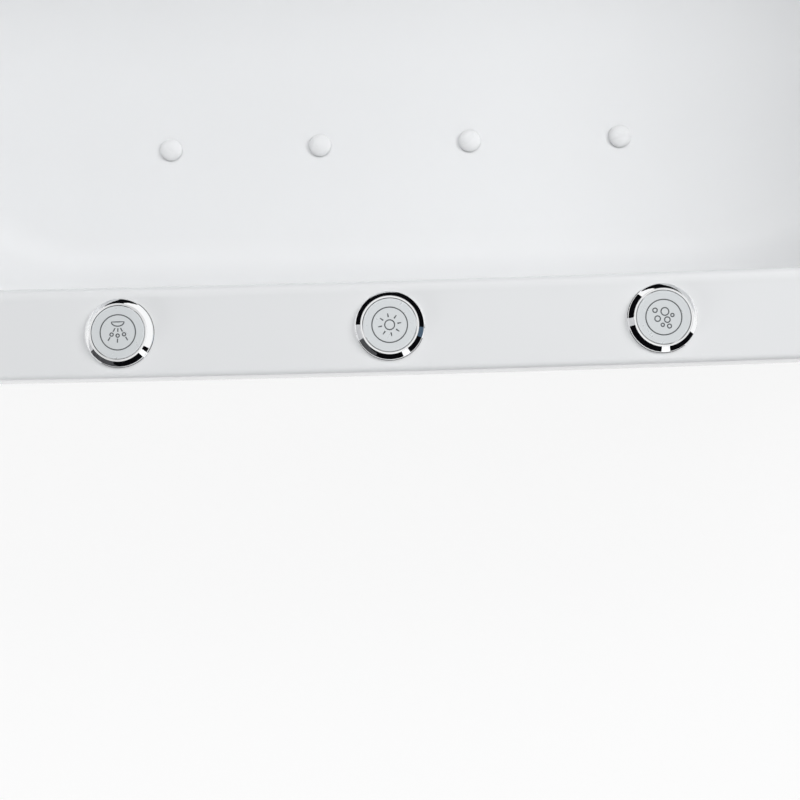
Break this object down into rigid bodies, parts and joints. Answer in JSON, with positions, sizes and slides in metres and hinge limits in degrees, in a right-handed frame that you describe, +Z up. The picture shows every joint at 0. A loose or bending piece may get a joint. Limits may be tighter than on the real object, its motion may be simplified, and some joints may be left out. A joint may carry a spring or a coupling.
{
  "type": "freestanding jetted bathtub",
  "caption": "Freestanding rectangular bathtub with a flat deck, water and air jets, chrome push buttons in a row on the long side, drain, overflow, pump and blower.",
  "frame": {"origin": "on the floor under the middle of the tub", "axes": "+X along the tub towards the pump end, -Y is the side with the push buttons, +Z up"},
  "size_m": [1.7, 0.7996, 0.5857],
  "materials": {
    "acrylic": "glossy white acrylic",
    "chrome": "polished chrome plate",
    "chrome_brass": "chrome-plated brass",
    "satin_steel": "satin silver",
    "brushed_steel": "machined",
    "white_plastic": "moulded, satin",
    "grey_plastic": "moulded, fine grain",
    "black_plastic": "moulded, fine grain",
    "black_rubber": "matt",
    "clear_tube": "soft translucent",
    "board": "resin-coated plywood",
    "frame_steel": "satin powder coat",
    "zinc": "zinc plated",
    "motor_paint": "satin enamel",
    "lens": "clear"
  },
  "bodies": {
    "tub": {"access_panel": "acrylic", "access_panel_frame": "grey_plastic", "access_panel_screws": "chrome", "air_jet_caps": "white_plastic", "air_jet_stems": "white_plastic", "air_manifold": "white_plastic", "air_supply_pipe": "white_plastic", "base_board": "board", "basin_shell": "acrylic", "blower_housing": "grey_plastic", "button_bellows_bubbles": "black_rubber", "button_bellows_jets": "black_rubber", "button_bellows_light": "black_rubber", "button_bezel_bubbles": "chrome", "button_bezel_jets": "chrome", "button_bezel_light": "chrome", "button_gaskets": "black_rubber", "button_housings": "white_plastic", "button_nuts": "grey_plastic", "control_box": "grey_plastic", "control_box_lid": "grey_plastic", "drain_body": "grey_plastic", "drain_flange": "chrome", "equipment_trays": "frame_steel", "foot_lock_nuts": "zinc", "frame_rails": "frame_steel", "light_body": "white_plastic", "light_lens": "lens", "light_ring": "chrome", "outer_skirt": "acrylic", "overflow_body": "grey_plastic", "overflow_cover": "chrome", "overflow_pipe": "grey_plastic", "pressure_pipe_front": "white_plastic", "pressure_pipe_rear": "white_plastic", "pump_motor": "motor_paint", "pump_wet_end": "black_plastic", "signal_tubes": "clear_tube", "suction_body": "white_plastic", "suction_cover": "chrome", "suction_pipe": "white_plastic", "water_jet_bodies": "white_plastic", "water_jet_flanges": "chrome", "wiring": "black_rubber"},
    "jets_button": {"button_cap_jets": "satin_steel"},
    "light_button": {"button_cap_light": "satin_steel"},
    "bubbles_button": {"button_cap_bubbles": "satin_steel"},
    "front_left_nozzle": {"jet_nozzle_front_left": "chrome"},
    "front_right_nozzle": {"jet_nozzle_front_right": "chrome"},
    "rear_left_nozzle": {"jet_nozzle_rear_left": "chrome"},
    "rear_right_nozzle": {"jet_nozzle_rear_right": "chrome"},
    "back_front_nozzle": {"jet_nozzle_back_front": "chrome"},
    "back_rear_nozzle": {"jet_nozzle_back_rear": "chrome"},
    "front_left_foot": {"levelling_foot_front_left": "zinc"},
    "front_right_foot": {"levelling_foot_front_right": "zinc"},
    "rear_left_foot": {"levelling_foot_rear_left": "zinc"},
    "rear_right_foot": {"levelling_foot_rear_right": "zinc"},
    "plug": {"drain_plug": "chrome_brass"},
    "pump_rotor": {"pump_rotor": "brushed_steel"},
    "blower_fan": {"blower_fan": "black_plastic"}
  },
  "joints": [
    {"name": "jets_button_press", "type": "slide", "parent": "tub", "child": "jets_button", "axis": [0, 0, -1], "range_m": [0, 0.003], "stiffness_N_per_m": 800, "springref_m": -0.003, "deforming": ["button_bellows_jets"]},
    {"name": "light_button_press", "type": "slide", "parent": "tub", "child": "light_button", "axis": [0, 0, -1], "range_m": [0, 0.003], "stiffness_N_per_m": 800, "springref_m": -0.003, "deforming": ["button_bellows_light"]},
    {"name": "bubbles_button_press", "type": "slide", "parent": "tub", "child": "bubbles_button", "axis": [0, 0, -1], "range_m": [0, 0.003], "stiffness_N_per_m": 800, "springref_m": -0.003, "deforming": ["button_bellows_bubbles"]},
    {"name": "front_left_nozzle_tilt", "type": "hinge", "parent": "tub", "child": "front_left_nozzle", "pos_m": [-0.3, -0.3006, 0.3], "axis": [1, 0, 0], "range_deg": [-15, 15]},
    {"name": "front_right_nozzle_tilt", "type": "hinge", "parent": "tub", "child": "front_right_nozzle", "pos_m": [0.3, -0.3006, 0.3], "axis": [1, 0, 0], "range_deg": [-15, 15]},
    {"name": "rear_left_nozzle_tilt", "type": "hinge", "parent": "tub", "child": "rear_left_nozzle", "pos_m": [-0.3, 0.3006, 0.3], "axis": [1, 0, 0], "range_deg": [-15, 15]},
    {"name": "rear_right_nozzle_tilt", "type": "hinge", "parent": "tub", "child": "rear_right_nozzle", "pos_m": [0.3, 0.3006, 0.3], "axis": [1, 0, 0], "range_deg": [-15, 15]},
    {"name": "back_front_nozzle_tilt", "type": "hinge", "parent": "tub", "child": "back_front_nozzle", "pos_m": [-0.64414, -0.062, 0.34], "axis": [0, 1, 0], "range_deg": [-15, 15]},
    {"name": "back_rear_nozzle_tilt", "type": "hinge", "parent": "tub", "child": "back_rear_nozzle", "pos_m": [-0.64414, 0.062, 0.34], "axis": [0, 1, 0], "range_deg": [-15, 15]},
    {"name": "plug_lift", "type": "slide", "parent": "tub", "child": "plug", "axis": [0, 0, 1], "range_m": [0, 0.01]},
    {"name": "front_left_foot_height", "type": "slide", "parent": "tub", "child": "front_left_foot", "axis": [0, 0, -1], "range_m": [-0.01, 0.02]},
    {"name": "front_right_foot_height", "type": "slide", "parent": "tub", "child": "front_right_foot", "axis": [0, 0, -1], "range_m": [-0.01, 0.02]},
    {"name": "rear_left_foot_height", "type": "slide", "parent": "tub", "child": "rear_left_foot", "axis": [0, 0, -1], "range_m": [-0.01, 0.02]},
    {"name": "rear_right_foot_height", "type": "slide", "parent": "tub", "child": "rear_right_foot", "axis": [0, 0, -1], "range_m": [-0.01, 0.02]},
    {"name": "pump_spin", "type": "hinge", "parent": "tub", "child": "pump_rotor", "pos_m": [0.7, 0.05, 0.22061], "axis": [0, 1, 0], "continuous": true},
    {"name": "blower_spin", "type": "hinge", "parent": "tub", "child": "blower_fan", "pos_m": [-0.7, 0.13, 0.13], "axis": [0, 0, 1], "continuous": true}
  ]
}
